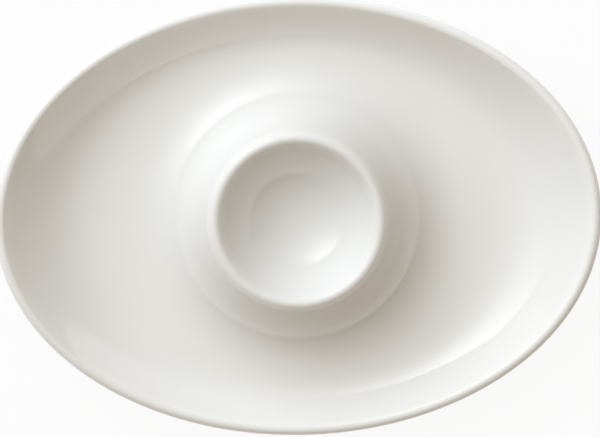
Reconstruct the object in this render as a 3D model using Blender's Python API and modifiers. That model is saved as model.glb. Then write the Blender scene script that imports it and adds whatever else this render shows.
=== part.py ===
"""Egg cup on an oval saucer, in glazed porcelain.

A turned cup with a flared flank is luted into the round opening of an oval dish, and both stand on a foot ring
under the seam. Lengths are in metres and +Z is up. The origin is on the table, under the middle of the dish,
and +X runs along the dish.
"""

import math

import bmesh
import bpy
import numpy as np

# Porcelain
WALL = 0.0030             # thickness of the cast wall
CLEARANCE = 0.0003        # joint between two pieces
GLAZE_COLOUR = (0.86, 0.86, 0.85)
GLAZE_ROUGHNESS = 0.08
BISCUIT_COLOUR = (0.80, 0.77, 0.71)
BISCUIT_ROUGHNESS = 0.70

# Foot ring
FOOT_HEIGHT = 0.0022      # table to the underside of the cup and the dish
FOOT_WIDTH = 0.0034       # width of the ring where it stands
FOOT_FLARE = 0.0012       # how much wider the ring is on each side where it meets the cup and the dish
FOOT_ROUND = 0.0006       # radius of the two edges that meet the table

# Seam, the lowest circle of the upper side, where the flank of the cup runs into the dish
SEAM_RADIUS = 0.0411

# Egg cup
LIP_RADIUS = 0.0203       # axis to the top of the rounded lip
LIP_ROUND = 0.0016        # radius of the rounded lip
LIP_RISE = 0.0208         # seam to the top of the lip
BOWL_DEPTH = 0.0139       # top of the lip to the middle of the bowl
BOWL_SLOPE = math.radians(54.5)   # slope of the bowl's side where it meets the lip
BOWL_FLOOR_REACH = 0.0148   # length of the level handle that rounds the bowl's floor
BOWL_SIDE_REACH = 0.0041    # length of the sloping handle that carries the bowl's side up to the lip
FLANK_SLOPE = math.radians(62)    # slope of the flank where it leaves the lip
FLANK_TOP_REACH = 0.0041    # length of the sloping handle under the lip
FLANK_FOOT_REACH = 0.0167   # length of the level handle that sweeps the flank into the seam
HOLLOW_CROWN = 0.0030     # width at which the hollow under the cup closes, between bowl and flank

# Oval dish
DISH_LENGTH = 0.1500
DISH_WIDTH = 0.1092
END_RISE = 0.0127         # seam to the top of the rim at each end
SIDE_RISE = 0.0070        # seam to the top of the rim at the middle of each side
END_SLOPE = math.radians(46.5)      # slope of the wall where it meets the rim, at each end
SIDE_SLOPE = math.radians(44.5)     # the same, at each side
END_FLOOR_REACH = 0.0094    # length of the level handle that sweeps the floor out to each end
SIDE_FLOOR_REACH = 0.0049   # the same, to each side
END_WALL_REACH = 0.0147     # length of the sloping handle that carries the wall up to the rim at each end
SIDE_WALL_REACH = 0.0062    # the same, at each side

# Facets
ROUND_STEPS = 64
LONG_CURVE_STEPS = 10
RIM_STEPS = 6
CROWN_STEPS = 4
FOOT_EDGE_STEPS = 3
HEIGHT_SAMPLES = 400        # levels at which the width of the hollow under the cup is compared
CROWN_SPACING = 0.0004      # least height left between the crown of the hollow and the next point below it
SHARP_ANGLE = math.radians(50)
MERGE_DISTANCE = 0.00001

# Heights above the table, and the rounding that takes up the whole wall at the rim of the dish
UNDERSIDE = FOOT_HEIGHT + CLEARANCE
SEAM_TOP = UNDERSIDE + WALL
LIP_TOP = SEAM_TOP + LIP_RISE
RIM_ROUND = WALL / 2

# The two sides of the seam
CUP_SEAM = SEAM_RADIUS - CLEARANCE / 2
DISH_SEAM = SEAM_RADIUS + CLEARANCE / 2


def clear_scene():
    for obj in list(bpy.data.objects):
        bpy.data.objects.remove(obj)


def new_collection(name):
    collection = bpy.data.collections.new(name)
    bpy.context.scene.collection.children.link(collection)
    return collection


def porcelain(name, colour, roughness, coat):
    material = bpy.data.materials.new(name)
    material.use_nodes = True
    shader = material.node_tree.nodes["Principled BSDF"]
    shader.inputs["Base Color"].default_value = (*colour, 1.0)
    shader.inputs["Metallic"].default_value = 0.0
    shader.inputs["Roughness"].default_value = roughness
    shader.inputs["Coat Weight"].default_value = coat
    return material


def bezier(start, start_handle, end_handle, end, steps):
    """Points of a cubic curve in a section plane, both ends included."""
    t = np.linspace(0.0, 1.0, steps + 1)[:, None]
    start, start_handle, end_handle, end = (
        np.array(point) for point in (start, start_handle, end_handle, end)
    )
    near = (1 - t) ** 3 * start + 3 * (1 - t) ** 2 * t * start_handle
    return near + 3 * (1 - t) * t**2 * end_handle + t**3 * end


def arc(centre, radius, first, last, steps):
    """Points of a circular arc, with angles from straight up, positive outwards."""
    angles = np.linspace(first, last, steps + 1)
    return np.array(centre) + radius * np.stack([np.sin(angles), np.cos(angles)], axis=1)


def offset(points, distance):
    """The curve moved to its right-hand side, which is down for a curve that runs outwards."""
    along = np.gradient(points, axis=0)
    along /= np.linalg.norm(along, axis=1, keepdims=True)
    return points + distance * np.stack([along[:, 1], -along[:, 0]], axis=1)


def add_object(name, mesh, collection, material):
    mesh.materials.append(material)
    mesh.shade_smooth()
    mesh.set_sharp_from_angle(angle=SHARP_ANGLE)
    obj = bpy.data.objects.new(name, mesh)
    collection.objects.link(obj)
    return obj


def turned(name, profile, closed, collection, material):
    """A solid turned about the axis of the cup, from a section at +X that runs down its outer side."""
    count = len(profile)
    edges = [(i, i + 1) for i in range(count - 1)]
    if closed:
        edges.append((count - 1, 0))
    mesh = bpy.data.meshes.new(name)
    mesh.from_pydata([(radius, 0.0, height) for radius, height in profile], edges, [])
    obj = add_object(name, mesh, collection, material)
    screw = obj.modifiers.new("Turn", "SCREW")
    screw.steps = ROUND_STEPS
    screw.render_steps = ROUND_STEPS
    screw.use_merge_vertices = True
    screw.merge_threshold = MERGE_DISTANCE
    screw.use_smooth_shade = True
    return obj


def oval_ring(end, side):
    """Points of an oval whose long half-axis reaches one section point and short half-axis another."""
    turn = np.arange(ROUND_STEPS) * 2 * math.pi / ROUND_STEPS
    height = end[1] * np.cos(turn) ** 2 + side[1] * np.sin(turn) ** 2
    return np.stack([end[0] * np.cos(turn), side[0] * np.sin(turn), height], axis=1)


def lofted(name, end_section, side_section, collection, material):
    """A closed ring of ovals, each between matching points of an end section and a side section."""
    form = bmesh.new()
    rings = [
        [form.verts.new(point) for point in oval_ring(end, side)]
        for end, side in zip(end_section, side_section)
    ]
    for inner, outer in zip(rings, rings[1:] + rings[:1]):
        for i in range(ROUND_STEPS):
            j = (i + 1) % ROUND_STEPS
            form.faces.new((inner[i], outer[i], outer[j], inner[j]))
    mesh = bpy.data.meshes.new(name)
    form.to_mesh(mesh)
    form.free()
    return add_object(name, mesh, collection, material)


def lip_arc():
    """The rounded lip, from the bowl's side over the top to the flank."""
    return arc((LIP_RADIUS, LIP_TOP - LIP_ROUND), LIP_ROUND, -BOWL_SLOPE, FLANK_SLOPE, RIM_STEPS)


def flank_curve():
    """The outside of the cup, from under the lip down to the seam."""
    top = lip_arc()[-1]
    down = np.array([math.cos(FLANK_SLOPE), -math.sin(FLANK_SLOPE)])
    foot_handle = (CUP_SEAM - FLANK_FOOT_REACH, SEAM_TOP)
    return bezier(top, top + FLANK_TOP_REACH * down, foot_handle, (CUP_SEAM, SEAM_TOP), LONG_CURVE_STEPS)


def bowl_curve():
    """The inside of the cup, from its middle out and up to the lip."""
    floor = LIP_TOP - BOWL_DEPTH
    top = lip_arc()[0]
    up = np.array([math.cos(BOWL_SLOPE), math.sin(BOWL_SLOPE)])
    return bezier((0.0, floor), (BOWL_FLOOR_REACH, floor), top - BOWL_SIDE_REACH * up, top, LONG_CURVE_STEPS)


def hollow_under_cup(bowl, flank):
    """The underside of the cup: one wall below the flank and the bowl, closed by a rounded crown between them."""
    under_flank = offset(flank, WALL)[::-1]
    under_bowl = offset(bowl, WALL)
    under_flank[0] = (CUP_SEAM, UNDERSIDE)
    under_bowl[0, 0] = 0.0
    heights = np.linspace(UNDERSIDE, LIP_TOP, HEIGHT_SAMPLES)
    outer = np.interp(heights, under_flank[:, 1], under_flank[:, 0])
    inner = np.interp(heights, under_bowl[:, 1], under_bowl[:, 0])
    crown = np.flatnonzero(outer - inner >= HOLLOW_CROWN)[-1]
    highest = heights[crown] - CROWN_SPACING
    rising = under_flank[under_flank[:, 1] < highest]
    falling = under_bowl[under_bowl[:, 1] < highest]
    start = np.array([outer[crown], heights[crown]])
    end = np.array([inner[crown], heights[crown]])
    lead_in = start - rising[-1]
    lead_out = end - falling[-1]
    reach = HOLLOW_CROWN / 2
    start_handle = start + reach * lead_in / np.linalg.norm(lead_in)
    end_handle = end + reach * lead_out / np.linalg.norm(lead_out)
    top = bezier(start, start_handle, end_handle, end, CROWN_STEPS)
    return np.concatenate([rising, top, falling[::-1]])


def egg_cup(collection, material):
    bowl = bowl_curve()
    flank = flank_curve()
    profile = np.concatenate([bowl, lip_arc()[1:-1], flank, hollow_under_cup(bowl, flank)])
    return turned("egg_cup", profile, False, collection, material)


def dish_section(half_size, rise, slope, floor_reach, wall_reach):
    """One closed section of the dish: out along the floor, over the rim and back underneath."""
    centre = (half_size - RIM_ROUND, SEAM_TOP + rise - RIM_ROUND)
    over_rim = arc(centre, RIM_ROUND, -slope, math.pi - slope, 2 * RIM_STEPS)
    seam = np.array([DISH_SEAM, SEAM_TOP])
    up = np.array([math.cos(slope), math.sin(slope)])
    wall_handle = over_rim[0] - wall_reach * up
    floor = bezier(seam, seam + (floor_reach, 0.0), wall_handle, over_rim[0], LONG_CURVE_STEPS)
    underside = offset(floor, WALL)[::-1]
    underside[-1] = (DISH_SEAM, UNDERSIDE)
    return np.concatenate([floor, over_rim[1:-1], underside])


def saucer(collection, material):
    end_section = dish_section(DISH_LENGTH / 2, END_RISE, END_SLOPE, END_FLOOR_REACH, END_WALL_REACH)
    side_section = dish_section(DISH_WIDTH / 2, SIDE_RISE, SIDE_SLOPE, SIDE_FLOOR_REACH, SIDE_WALL_REACH)
    return lofted("saucer", end_section, side_section, collection, material)


def foot_ring(collection, material):
    """A ring that widens upwards, flat where it stands and where it carries the cup and the dish."""
    half = FOOT_WIDTH / 2
    wide = half + FOOT_FLARE
    inner_centre = (SEAM_RADIUS - half + FOOT_ROUND, FOOT_ROUND)
    outer_centre = (SEAM_RADIUS + half - FOOT_ROUND, FOOT_ROUND)
    inner_edge = arc(inner_centre, FOOT_ROUND, -math.pi, -math.pi / 2, FOOT_EDGE_STEPS)
    outer_edge = arc(outer_centre, FOOT_ROUND, math.pi / 2, math.pi, FOOT_EDGE_STEPS)
    top = [(SEAM_RADIUS - wide, FOOT_HEIGHT), (SEAM_RADIUS + wide, FOOT_HEIGHT)]
    profile = np.concatenate([top, outer_edge, inner_edge])
    return turned("foot_ring", profile, True, collection, material)


def build():
    clear_scene()
    parts = new_collection("egg_cup_with_saucer")
    egg_cup(parts, porcelain("cup_glaze", GLAZE_COLOUR, GLAZE_ROUGHNESS, coat=1.0))
    saucer(parts, porcelain("dish_glaze", GLAZE_COLOUR, GLAZE_ROUGHNESS, coat=1.0))
    foot_ring(parts, porcelain("bare_biscuit", BISCUIT_COLOUR, BISCUIT_ROUGHNESS, coat=0.0))


build()
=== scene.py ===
"""A white porcelain egg cup that rises from the middle of an oval saucer, seen from above in daylight."""

import math

import bpy
import numpy as np
from mathutils import Matrix, Vector


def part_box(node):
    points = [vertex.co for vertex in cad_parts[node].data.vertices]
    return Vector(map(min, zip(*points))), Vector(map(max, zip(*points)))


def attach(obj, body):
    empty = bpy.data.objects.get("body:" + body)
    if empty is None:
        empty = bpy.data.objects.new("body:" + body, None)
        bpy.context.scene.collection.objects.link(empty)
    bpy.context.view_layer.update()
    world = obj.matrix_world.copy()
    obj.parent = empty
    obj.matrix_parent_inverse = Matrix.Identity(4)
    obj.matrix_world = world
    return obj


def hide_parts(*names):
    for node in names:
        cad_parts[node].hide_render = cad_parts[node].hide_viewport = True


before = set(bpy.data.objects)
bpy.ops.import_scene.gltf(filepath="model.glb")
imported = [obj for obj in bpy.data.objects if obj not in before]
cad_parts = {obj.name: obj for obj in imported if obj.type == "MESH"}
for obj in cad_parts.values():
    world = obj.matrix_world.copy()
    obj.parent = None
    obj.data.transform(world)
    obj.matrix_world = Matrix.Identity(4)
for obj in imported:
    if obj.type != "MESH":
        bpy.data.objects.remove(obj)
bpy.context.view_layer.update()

# Foot ring. The ring of bare porcelain that the whole object stands on, turned with the cup on the wheel.
# It carries the cup and the dish under the seam between them. Its sides take some glaze, and its standing
# face is wiped clean before the firing and ground flat after it.

ring_low, ring_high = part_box("foot_ring")
RING_FLARE = 0.0012
RING_FACE_WIDTH = 0.0034
RING_EDGE = 0.0006
RING_FILLET = 0.0009
RING_EMBED = 0.00045
SEAM_RADIUS = (ring_high.x - ring_low.x) / 2 - RING_FACE_WIDTH / 2 - RING_FLARE
COLUMNS = 256
RING_STEPS = 8
SHARP_ANGLE = math.radians(35)
BISCUIT = (0.80, 0.765, 0.705)
BISCUIT_WORN = (0.66, 0.63, 0.58)
BISCUIT_ROUGHNESS = 0.78
RING_GLAZE = (0.86, 0.853, 0.83)
RING_GLAZE_ROUGHNESS = 0.06
RING_INDEX = 1.5
GLAZE_STOPS_AT = 0.00115
GLAZE_LINE_WAVER = 0.0006
GLAZE_LINE_EDGE = 0.00006
GLAZE_LINE_STEP = 2.0
WAVER_SCALE = 260.0
WORN_UP_TO = 0.00025
WEAR_SCALE = 420.0
GRAIN_SCALE = 5200.0
GRAIN_DARK = 0.93
GRAIN_LIGHT = 1.04
GRAIN_DEPTH = 0.00004
GRAIN_STRENGTH = 0.6
NOISE_LOW = 0.3
NOISE_HIGH = 0.7


def arc(centre, radius, first, last, steps):
    """Circle round a centre in the section plane: radius times sine and cosine of an angle from upright."""
    angle = np.linspace(first, last, steps + 1)
    return np.array(centre) + radius * np.stack([np.sin(angle), np.cos(angle)], axis=1)


def turned(section):
    """Surface of revolution: radius times cosine and sine of the turn, at the section point's height."""
    turn = np.arange(COLUMNS) * 2 * math.pi / COLUMNS
    radius, height = section[:, :1], section[:, 1:]
    return np.stack(
        [radius * np.cos(turn), radius * np.sin(turn), np.broadcast_to(height, (len(section), COLUMNS))],
        axis=2,
    )


def skin(name, grid, looped, capped):
    """Mesh on a grid whose rows follow a section and whose columns go round it.

    A cell is the face between two neighbouring rows and two neighbouring columns. The last column joins the
    first. A looped grid also joins its last row to its first. A capped one is closed by a fan of triangles to
    the middle of its first row and of its last row, and those two points come last.
    """
    rows, columns = grid.shape[:2]
    index = np.arange(rows * columns).reshape(rows, columns)
    near = index if looped else index[:-1]
    far = np.roll(index, -1, axis=0) if looped else index[1:]
    quads = np.stack([near, far, np.roll(far, -1, axis=1), np.roll(near, -1, axis=1)], axis=2)
    points, faces = grid.reshape(-1, 3), quads.reshape(-1, 4).tolist()
    if capped:
        first_middle, last_middle = len(points), len(points) + 1
        points = np.concatenate([points, grid[:1].mean(axis=1), grid[-1:].mean(axis=1)])
        first, last = index[0], index[-1]
        first_fan = np.stack([np.full(columns, first_middle), first, np.roll(first, -1)], axis=1)
        last_fan = np.stack([np.full(columns, last_middle), np.roll(last, -1), last], axis=1)
        faces += first_fan.tolist() + last_fan.tolist()
    mesh = bpy.data.meshes.new(name)
    mesh.from_pydata(points.tolist(), [], faces)
    mesh.shade_smooth()
    mesh.set_sharp_from_angle(angle=SHARP_ANGLE)
    piece = bpy.data.objects.new(name, mesh)
    bpy.context.scene.collection.objects.link(piece)
    return piece


def node(tree, kind, **settings):
    """One shader node. A setting that names a property of the node sets it.

    Any other setting names an input, by its own name or by an underscore and its number. It gives the input a
    value, or links it where a socket is given.
    """
    made = tree.nodes.new(kind)
    for key, value in settings.items():
        if hasattr(made, key):
            setattr(made, key, value)
    for key, value in settings.items():
        if hasattr(made, key):
            continue
        socket = made.inputs[int(key[1:])] if key[1:].isdigit() else made.inputs[key.replace("_", " ")]
        if isinstance(value, bpy.types.NodeSocket):
            tree.links.new(value, socket)
        else:
            socket.default_value = value
    return made


def reckon(tree, operation, *numbers, clamped=False):
    """Result of one operation on numbers or sockets. A clamped one stays between nought and one."""
    inputs = {f"_{place}": number for place, number in enumerate(numbers)}
    return node(tree, "ShaderNodeMath", operation=operation, use_clamp=clamped, **inputs).outputs[0]


def rescale(tree, value, low, high, to_low=0.0, to_high=1.0):
    """Value carried in proportion from one range to another, and held at the ends."""
    return node(
        tree, "ShaderNodeMapRange", Value=value,
        From_Min=low, From_Max=high, To_Min=to_low, To_Max=to_high,
    ).outputs[0]


def noise(tree, place, scale, detail, roughness=0.5):
    """Soft noise about a half: a sum of finer and finer waves, each weaker than the last by the roughness."""
    return node(
        tree, "ShaderNodeTexNoise", Vector=place, Scale=scale, Detail=detail, Roughness=roughness
    ).outputs["Fac"]


def blend(tree, share, first, second):
    """Colour that goes from the first to the second as the share goes from nought to one."""
    return node(tree, "ShaderNodeMix", data_type="RGBA", _0=share, _6=first, _7=second).outputs[2]


def ring_section():
    """Closed section: over a hidden lid, down the outer side, round two small edges, and up the inner side.

    Each side leaves the underside of the cup or dish by a fillet, a quarter of a circle, and then goes
    straight down to its edge.
    """
    outer, inner = SEAM_RADIUS + RING_FACE_WIDTH / 2, SEAM_RADIUS - RING_FACE_WIDTH / 2
    lid_height = ring_high.z + RING_EMBED
    fillet_height = ring_high.z + RING_EMBED / 2 - RING_FILLET
    outer_fillet = arc((outer + RING_FILLET, fillet_height), RING_FILLET, 0, -math.pi / 2, RING_STEPS)
    outer_edge = arc((outer - RING_EDGE, RING_EDGE), RING_EDGE, math.pi / 2, math.pi, RING_STEPS)
    inner_edge = arc((inner + RING_EDGE, RING_EDGE), RING_EDGE, -math.pi, -math.pi / 2, RING_STEPS)
    inner_fillet = arc((inner - RING_FILLET, fillet_height), RING_FILLET, math.pi / 2, 0, RING_STEPS)
    lid = np.array([[inner, lid_height], [outer, lid_height]])
    return np.concatenate([lid, outer_fillet, outer_edge, inner_edge, inner_fillet])


def bare_porcelain():
    """Fine grain of fired clay, glossy above a wavering line where the glaze ends, greyed where it stands."""
    material = bpy.data.materials.new("bare_porcelain")
    material.use_nodes = True
    tree = material.node_tree
    shader = tree.nodes["Principled BSDF"]
    place = node(tree, "ShaderNodeTexCoord").outputs["Object"]
    height = node(tree, "ShaderNodeSeparateXYZ", Vector=place).outputs["Z"]
    waver = noise(tree, place, WAVER_SCALE, detail=2.0)
    edge = reckon(tree, "MULTIPLY_ADD", waver, GLAZE_LINE_WAVER, GLAZE_STOPS_AT - GLAZE_LINE_WAVER / 2)
    above = reckon(tree, "SUBTRACT", height, edge)
    glazed = rescale(tree, above, -GLAZE_LINE_EDGE, GLAZE_LINE_EDGE)
    standing = rescale(tree, height, WORN_UP_TO, 0.0)
    grain = noise(tree, place, GRAIN_SCALE, detail=4.0, roughness=0.7)
    blotch = noise(tree, place, WEAR_SCALE, detail=3.0)
    wear = reckon(tree, "MULTIPLY", standing, blotch)
    clay = blend(tree, wear, (*BISCUIT, 1), (*BISCUIT_WORN, 1))
    speck = rescale(tree, grain, NOISE_LOW, NOISE_HIGH, GRAIN_DARK, GRAIN_LIGHT)
    grained = node(tree, "ShaderNodeVectorMath", operation="SCALE", _0=clay, Scale=speck).outputs[0]
    colour = blend(tree, glazed, grained, (*RING_GLAZE, 1))
    roughness = rescale(tree, glazed, 0.0, 1.0, BISCUIT_ROUGHNESS, RING_GLAZE_ROUGHNESS)
    relief = reckon(tree, "MULTIPLY_ADD", glazed, GLAZE_LINE_STEP, grain)
    bump = node(tree, "ShaderNodeBump", Strength=GRAIN_STRENGTH, Distance=GRAIN_DEPTH, Height=relief)
    tree.links.new(colour, shader.inputs["Base Color"])
    tree.links.new(roughness, shader.inputs["Roughness"])
    tree.links.new(bump.outputs[0], shader.inputs["Normal"])
    shader.inputs["IOR"].default_value = RING_INDEX
    return material


standing_ring = skin("standing_ring", turned(ring_section()), looped=True, capped=False)
standing_ring.data.materials.append(bare_porcelain())
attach(standing_ring, "root")
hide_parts("foot_ring")

# Saucer. The oval dish round the cup, cast in porcelain in a plaster mould, with an even wall and a rim that
# is sponged round. It is luted to the cup along a circle, the seam, where its floor is level, and from there
# it rises to the rim, higher at the two ends than at the sides. The glaze covers it all over.

dish_low, dish_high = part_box("saucer")
WALL = 0.0030
RIM_ROUND = WALL / 2
DISH_HALF_LENGTH = (dish_high.x - dish_low.x) / 2
DISH_HALF_WIDTH = (dish_high.y - dish_low.y) / 2
UNDERSIDE = dish_low.z
SEAM_TOP = UNDERSIDE + WALL
END_RISE = dish_high.z - SEAM_TOP
SIDE_RISE = 0.0070
END_SLOPE = math.radians(40)
SIDE_SLOPE = math.radians(44.5)
END_FLOOR_REACH = 0.0150
SIDE_FLOOR_REACH = 0.0049
END_WALL_REACH = 0.0180
SIDE_WALL_REACH = 0.0062
FLOOR_STEPS = 48
RIM_STEPS = 32
GLAZE = (0.878, 0.876, 0.868)
# Grey of the faint clouds in the glaze, and of the painted shade on the cup.
GLAZE_CLOUDS_AND_SHADE = (0.822, 0.822, 0.814)
GLAZE_THIN = (0.886, 0.882, 0.872)
GLAZE_CLOUD = 0.3
GLAZE_INDEX = 1.79
GLAZE_SMOOTHEST = 0.030
GLAZE_ROUGHEST = 0.050
CLOUD_SCALE = 38.0
FLOW_SCALE = 210.0
PEEL_SCALE = 900.0
PEEL_SHARE = 0.12
SWELL_DEPTH = 0.000004
THINNING_ENDS_AT = 2.0


def sweep(start, start_handle, end_handle, end, steps):
    """Cubic curve between two ends with a handle each, weighted by the four terms of (1 - t + t) cubed.

    t runs from nought to one as half of one less a cosine, so that the points crowd towards both ends.
    """
    t = (1 - np.cos(np.linspace(0, math.pi, steps + 1)))[:, None] / 2
    start, start_handle, end_handle, end = (np.array(p) for p in (start, start_handle, end_handle, end))
    near = (1 - t) ** 3 * start + 3 * (1 - t) ** 2 * t * start_handle
    return near + 3 * (1 - t) * t**2 * end_handle + t**3 * end


def beneath(curve, distance):
    """The curve moved by a distance square to its own direction, downwards where it runs outwards."""
    along = np.gradient(curve, axis=0)
    along /= np.linalg.norm(along, axis=1, keepdims=True)
    return curve + distance * np.stack([along[:, 1], -along[:, 0]], axis=1)


def dish_section(half_size, rise, slope, floor_reach, wall_reach):
    """Closed section from the seam: floor and wall, half a circle over the rim, and back one wall below."""
    centre = (half_size - RIM_ROUND, SEAM_TOP + rise - RIM_ROUND)
    over_rim = arc(centre, RIM_ROUND, -slope, math.pi - slope, RIM_STEPS)
    seam = np.array([SEAM_RADIUS, SEAM_TOP])
    up = np.array([math.cos(slope), math.sin(slope)])
    floor = sweep(seam, seam + (floor_reach, 0.0), over_rim[0] - wall_reach * up, over_rim[0], FLOOR_STEPS)
    under = beneath(floor, WALL)[::-1]
    under[-1] = (SEAM_RADIUS, UNDERSIDE)
    return np.concatenate([floor, over_rim[1:-1], under])


def ovals(end_section, side_section):
    """Loft of ovals whose half-axes are the radii of matching points of the two sections.

    Their heights are added up round the oval, the end's by cosine squared and the side's by sine squared.
    """
    turn = np.arange(COLUMNS) * 2 * math.pi / COLUMNS
    along, across = end_section[:, :1], side_section[:, :1]
    height = end_section[:, 1:] * np.cos(turn) ** 2 + side_section[:, 1:] * np.sin(turn) ** 2
    return np.stack([along * np.cos(turn), across * np.sin(turn), height], axis=2)


def thinning(section, middle, radius):
    """Share of thin glaze on a rounded edge: one within its radius, falling evenly to none outside it."""
    radii_away = np.hypot(*(section - middle).T) / radius
    return np.clip(THINNING_ENDS_AT - radii_away, 0, 1)


def mark(piece, name, values):
    """Stores one number for each point of the mesh, for the material to read."""
    attribute = piece.data.attributes.new(name, "FLOAT", "POINT")
    attribute.data.foreach_set("value", np.asarray(values, np.float32).ravel())


def white_glaze(name):
    """Clear glaze on white porcelain, glossy and a little wavy.

    Its colour follows two numbers stored on the mesh. Thin glaze, over a rim, is whiter. The second number
    is painted shade: up the cup and in its bowl the glaze is painted greyer, and faint clouds of greyer glaze
    add to it. A number that a mesh lacks is nought.
    """
    material = bpy.data.materials.new(name)
    material.use_nodes = True
    tree = material.node_tree
    shader = tree.nodes["Principled BSDF"]
    place = node(tree, "ShaderNodeTexCoord").outputs["Object"]
    cloud = noise(tree, place, CLOUD_SCALE, detail=3.0, roughness=0.55)
    flow = noise(tree, place, FLOW_SCALE, detail=2.0)
    peel = noise(tree, place, PEEL_SCALE, detail=1.0)
    thin = node(tree, "ShaderNodeAttribute", attribute_name="thin").outputs["Fac"]
    # Painted shade that greys the cup and its bowl. The dish lacks it and reads nought.
    painted_shade = node(tree, "ShaderNodeAttribute", attribute_name="painted_shade").outputs["Fac"]
    clouds = rescale(tree, cloud, NOISE_LOW, NOISE_HIGH, 0.0, GLAZE_CLOUD)
    clouds_and_shade = reckon(tree, "ADD", clouds, painted_shade, clamped=True)
    body = blend(tree, clouds_and_shade, (*GLAZE, 1), (*GLAZE_CLOUDS_AND_SHADE, 1))
    colour = blend(tree, thin, body, (*GLAZE_THIN, 1))
    gloss = rescale(tree, flow, NOISE_LOW, NOISE_HIGH, GLAZE_SMOOTHEST, GLAZE_ROUGHEST)
    swell = reckon(tree, "MULTIPLY_ADD", peel, PEEL_SHARE, flow)
    bump = node(tree, "ShaderNodeBump", Strength=1.0, Distance=SWELL_DEPTH, Height=swell)
    tree.links.new(colour, shader.inputs["Base Color"])
    tree.links.new(gloss, shader.inputs["Roughness"])
    tree.links.new(bump.outputs[0], shader.inputs["Normal"])
    shader.inputs["IOR"].default_value = GLAZE_INDEX
    return material


end_section = dish_section(DISH_HALF_LENGTH, END_RISE, END_SLOPE, END_FLOOR_REACH, END_WALL_REACH)
side_section = dish_section(DISH_HALF_WIDTH, SIDE_RISE, SIDE_SLOPE, SIDE_FLOOR_REACH, SIDE_WALL_REACH)
dish_body = skin("dish_body", ovals(end_section, side_section), looped=True, capped=False)
rim_middle = (DISH_HALF_LENGTH - RIM_ROUND, SEAM_TOP + END_RISE - RIM_ROUND)
mark(dish_body, "thin", np.repeat(thinning(end_section, rim_middle, RIM_ROUND), COLUMNS))
dish_body.data.materials.append(white_glaze("dish_glaze_white"))
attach(dish_body, "root")
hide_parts("saucer")

# Egg cup. The turned middle of the object: a round bowl for the egg, a rounded lip, and a flank that sweeps
# out and down to the seam. It is porcelain with an even wall, hollow beneath, luted into the dish and glazed
# with it, so that no joint shows. Its glaze is painted greyer than the dish's. This is painted shade that
# darkens the cup from its seam up to its lip and all through its bowl.

LIP_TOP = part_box("egg_cup")[1].z
LIP_RADIUS = 0.0203
LIP_ROUND = 0.0016
BOWL_DEPTH = 0.0139
BOWL_SLOPE = math.radians(54.5)
BOWL_FLOOR_REACH = 0.0148
BOWL_SIDE_REACH = 0.0041
FLANK_SLOPE = math.radians(62)
FLANK_TOP_REACH = 0.0041
FLANK_FOOT_REACH = 0.0167
HOLLOW_CROWN = 0.0030
HOLLOW_SAMPLES = 2000
CROWN_CLEARANCE = 0.0002
CROWN_STEPS = 16
LIP_STEPS = 24
BOWL_STEPS = 48
FLANK_STEPS = 56
LIP_THINNING = 0.3


def hollow_under(bowl, flank):
    """Underside of the cup: the flank and the bowl moved down by one wall, joined by a rounded crown.

    The crown springs from the greatest height at which the two are still its width apart.
    """
    under_flank = beneath(flank, WALL)[::-1]
    under_bowl = beneath(bowl, WALL)
    under_flank[0] = (SEAM_RADIUS, UNDERSIDE)
    heights = np.linspace(UNDERSIDE, LIP_TOP, HOLLOW_SAMPLES)
    outer = np.interp(heights, under_flank[:, 1], under_flank[:, 0])
    inner = np.interp(heights, under_bowl[:, 1], under_bowl[:, 0])
    crown = np.flatnonzero(outer - inner >= HOLLOW_CROWN)[-1]
    below_crown = heights[crown] - CROWN_CLEARANCE
    rising = under_flank[under_flank[:, 1] < below_crown]
    falling = under_bowl[under_bowl[:, 1] < below_crown]
    start = np.array([outer[crown], heights[crown]])
    end = np.array([inner[crown], heights[crown]])
    lead_in = (start - rising[-1]) / np.linalg.norm(start - rising[-1])
    lead_out = (end - falling[-1]) / np.linalg.norm(end - falling[-1])
    reach = HOLLOW_CROWN / 2
    over = sweep(start, start + reach * lead_in, end + reach * lead_out, end, CROWN_STEPS)
    return np.concatenate([rising, over, falling[::-1]])


def cup_section():
    """Open section from the middle of the bowl, over the lip, down the flank, and back underneath.

    Its two ends, on the axis, are left off, because the skin is capped there.
    """
    floor = LIP_TOP - BOWL_DEPTH
    lip = arc((LIP_RADIUS, LIP_TOP - LIP_ROUND), LIP_ROUND, -BOWL_SLOPE, FLANK_SLOPE, LIP_STEPS)
    up = np.array([math.cos(BOWL_SLOPE), math.sin(BOWL_SLOPE)])
    side_handle = lip[0] - BOWL_SIDE_REACH * up
    bowl = sweep((0.0, floor), (BOWL_FLOOR_REACH, floor), side_handle, lip[0], BOWL_STEPS)
    down = np.array([math.cos(FLANK_SLOPE), -math.sin(FLANK_SLOPE)])
    top_handle = lip[-1] + FLANK_TOP_REACH * down
    foot_handle = (SEAM_RADIUS - FLANK_FOOT_REACH, SEAM_TOP)
    flank = sweep(lip[-1], top_handle, foot_handle, (SEAM_RADIUS, SEAM_TOP), FLANK_STEPS)
    section = np.concatenate([bowl, lip[1:-1], flank, hollow_under(bowl, flank)])
    return section[1:-1]


section = cup_section()
cup_body = skin("cup_body", turned(section), looped=False, capped=True)
lip_thinning = LIP_THINNING * thinning(section, (LIP_RADIUS, LIP_TOP - LIP_ROUND), LIP_ROUND)
on_lip = np.where(section[:, 1] > LIP_TOP - 2 * LIP_ROUND, lip_thinning, 0)
# Painted shade on the cup: none at the seam, rising to full at the lip, and full in the bowl.
shade_up_cup = np.clip((SEAM_RADIUS - section[:, 0]) / (SEAM_RADIUS - LIP_RADIUS), 0, 1)
# The last two numbers are for the two points that the caps add.
mark(cup_body, "thin", np.concatenate([np.repeat(on_lip, COLUMNS), [0, 0]]))
mark(cup_body, "painted_shade", np.concatenate([np.repeat(shade_up_cup, COLUMNS), [1, 1]]))
cup_body.data.materials.append(white_glaze("cup_glaze_white"))
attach(cup_body, "root")
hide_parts("egg_cup")

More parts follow.
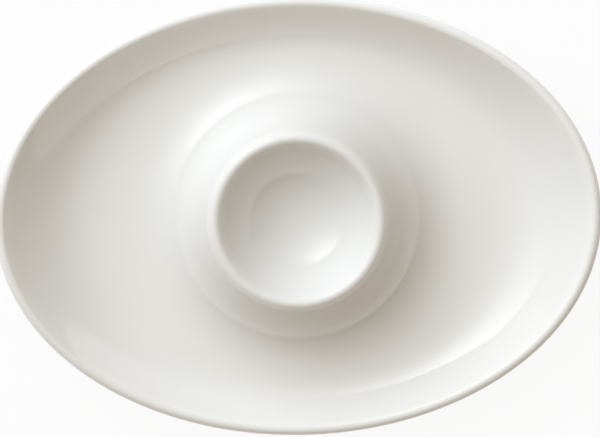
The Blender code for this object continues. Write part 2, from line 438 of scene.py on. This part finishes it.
# Floor. A plain white table top that the object stands on. It shows as white paper with a faint shadow, and
# gives back a pale light to the underside of the dish.

FLOOR_HALF = 3.0
FLOOR_WHITE = 0.82
FLOOR_PAPER = 0.92
WHITE = (1, 1, 1, 1)


def mix(tree, share, first, second):
    """Shader that goes from the first to the second as the share goes from nought to one."""
    return node(tree, "ShaderNodeMixShader", Fac=share, _1=first, _2=second).outputs[0]


def table_top():
    """Matt pale floor. Seen or mirrored, most of its brightness is its own, and the rest keeps the shadow.

    Seen from below it is clear.
    """
    material = bpy.data.materials.new("table_top")
    material.use_nodes = True
    tree = material.node_tree
    tree.nodes.clear()
    rays = node(tree, "ShaderNodeLightPath").outputs
    seen = reckon(tree, "MAXIMUM", rays["Is Camera Ray"], rays["Is Glossy Ray"])
    seen = reckon(tree, "MAXIMUM", seen, rays["Is Transmission Ray"])
    matt = node(tree, "ShaderNodeBsdfDiffuse", Color=(FLOOR_WHITE, FLOOR_WHITE, FLOOR_WHITE, 1)).outputs[0]
    paper = node(tree, "ShaderNodeEmission", Color=WHITE, Strength=1.0).outputs[0]
    shown = mix(tree, FLOOR_PAPER, matt, paper)
    above = mix(tree, seen, matt, shown)
    below = node(tree, "ShaderNodeNewGeometry").outputs["Backfacing"]
    clear = node(tree, "ShaderNodeBsdfTransparent").outputs[0]
    node(tree, "ShaderNodeOutputMaterial", Surface=mix(tree, below, above, clear))
    return material


floor_mesh = bpy.data.meshes.new("floor")
corners = FLOOR_HALF * np.array([[-1, -1, 0], [1, -1, 0], [1, 1, 0], [-1, 1, 0]])
floor_mesh.from_pydata(corners.tolist(), [], [(0, 1, 2, 3)])
floor_mesh.materials.append(table_top())
floor = bpy.data.objects.new("floor", floor_mesh)
bpy.context.scene.collection.objects.link(floor)

# Daylight. A window on the left behind the object lights it, and a warm room, with a wall across from the
# window, fills the shadows. The glaze mirrors the sky in that window, which is brightest just over the sill,
# and the ceiling of a dim room.

WINDOW_AZIMUTH = math.radians(127.9)
WINDOW_HEIGHT = math.radians(39.5)
WINDOW_TIGHTNESS = 6.4
WINDOW_STRENGTH = 3.84
WINDOW_COLOUR = (0.93, 1.006, 1.075, 1)
FAR_WALL_AZIMUTH = WINDOW_AZIMUTH - math.pi
FAR_WALL_HEIGHT = math.radians(45)
FAR_WALL_TIGHTNESS = 2.0
FAR_WALL_STRENGTH = 0.12
ROOM_STRENGTH = 0.155
ROOM_COLOUR = (1.33, 1.0, 0.62, 1)
SILL_HEIGHT = math.radians(23.7)
SILL_SOFTNESS = 0.008
SKY_HEIGHT = math.radians(30.3)
SKY_TIGHTNESS = 11.0
SKY_STRENGTH = 1.9
MIRRORED_CEILING = 0.27
MIRRORED_ROOM = 0.12
MIRROR_COLOUR = (1.0, 1.0, 0.8, 1)


def shine(tree, colour, strength):
    """Light that comes in from all round, of one colour, with a strength that may change with the way."""
    return node(tree, "ShaderNodeBackground", Color=colour, Strength=strength).outputs[0]


def glow(tree, way, azimuth, height, tightness):
    """Brightness round a direction: exponential of the tightness times (cosine of the angle to it - 1)."""
    aim = (math.cos(azimuth) * math.cos(height), math.sin(azimuth) * math.cos(height), math.sin(height))
    facing = node(tree, "ShaderNodeVectorMath", operation="DOT_PRODUCT", _0=way, _1=aim).outputs["Value"]
    return reckon(tree, "EXPONENT", reckon(tree, "MULTIPLY_ADD", facing, tightness, -tightness))


def falling_light(tree, way):
    """Light that falls on the object: the window's glow, and an even room with the glow of its far wall."""
    window_glow = glow(tree, way, WINDOW_AZIMUTH, WINDOW_HEIGHT, WINDOW_TIGHTNESS)
    window = shine(tree, WINDOW_COLOUR, reckon(tree, "MULTIPLY", window_glow, WINDOW_STRENGTH))
    wall_glow = glow(tree, way, FAR_WALL_AZIMUTH, FAR_WALL_HEIGHT, FAR_WALL_TIGHTNESS)
    bright = reckon(tree, "MULTIPLY_ADD", wall_glow, FAR_WALL_STRENGTH, ROOM_STRENGTH)
    room = shine(tree, ROOM_COLOUR, bright)
    return node(tree, "ShaderNodeAddShader", _0=window, _1=room).outputs[0]


def mirrored_light(tree, way):
    """What the glaze mirrors: a glow of sky that is cut off sharply at the sill, and a room.

    The room is dim all round, and gets lighter overhead with the sine of the height.
    """
    height = node(tree, "ShaderNodeSeparateXYZ", Vector=way).outputs["Z"]
    sky_glow = glow(tree, way, WINDOW_AZIMUTH, SKY_HEIGHT, SKY_TIGHTNESS)
    sill = math.sin(SILL_HEIGHT)
    over_sill = rescale(tree, height, sill - SILL_SOFTNESS, sill + SILL_SOFTNESS, 0.0, SKY_STRENGTH)
    sky = shine(tree, WHITE, reckon(tree, "MULTIPLY", sky_glow, over_sill))
    overhead = reckon(tree, "MAXIMUM", height, 0.0)
    bright = reckon(tree, "MULTIPLY_ADD", overhead, MIRRORED_CEILING, MIRRORED_ROOM)
    room = shine(tree, MIRROR_COLOUR, bright)
    return node(tree, "ShaderNodeAddShader", _0=sky, _1=room).outputs[0]


def daylight():
    """Room round the object: light that falls on it, light that its glaze mirrors, and white where seen."""
    world = bpy.data.worlds.new("daylight")
    world.use_nodes = True
    tree = world.node_tree
    tree.nodes.clear()
    way = node(tree, "ShaderNodeTexCoord").outputs["Generated"]
    falling = falling_light(tree, way)
    mirrored = mirrored_light(tree, way)
    paper = shine(tree, WHITE, 1.0)
    rays = node(tree, "ShaderNodeLightPath").outputs
    light = mix(tree, rays["Is Glossy Ray"], falling, mirrored)
    seen = mix(tree, rays["Is Camera Ray"], light, paper)
    node(tree, "ShaderNodeOutputWorld", Surface=seen)
    bpy.context.scene.world = world


daylight()

# Camera. A long lens above the table, almost straight over the object, with the top of the picture towards
# +Y. It stands a little to the +Y side and looks back at the middle, and it is rolled by about a degree.

PICTURE_WIDTH = 600
METRES_PER_PIXEL = 0.0002480
SENSOR_WIDTH = 36.0
CAMERA_DISTANCE = 1.06
LEAN_X = math.radians(0.35)
LEAN_Y = math.radians(4.7)
ROLL = math.radians(1.1)
AIM_X = 0.00050
AIM_Y = -0.00032

camera_data = bpy.data.cameras.new("camera")
camera_data.sensor_fit = "HORIZONTAL"
camera_data.sensor_width = SENSOR_WIDTH
camera_data.lens = SENSOR_WIDTH * CAMERA_DISTANCE / (PICTURE_WIDTH * METRES_PER_PIXEL)
camera = bpy.data.objects.new("camera", camera_data)
bpy.context.scene.collection.objects.link(camera)
back = Vector((math.tan(LEAN_X), math.tan(LEAN_Y), 1.0)).normalized()
up = Vector((math.sin(ROLL), math.cos(ROLL), 0))
right = up.cross(back).normalized()
stand = Matrix((right, back.cross(right), back)).transposed().to_4x4()
stand.translation = Vector((AIM_X, AIM_Y, SEAM_TOP + SIDE_RISE)) + back * CAMERA_DISTANCE
camera.matrix_world = stand
bpy.context.scene.camera = camera
bpy.context.scene.view_settings.view_transform = "Standard"
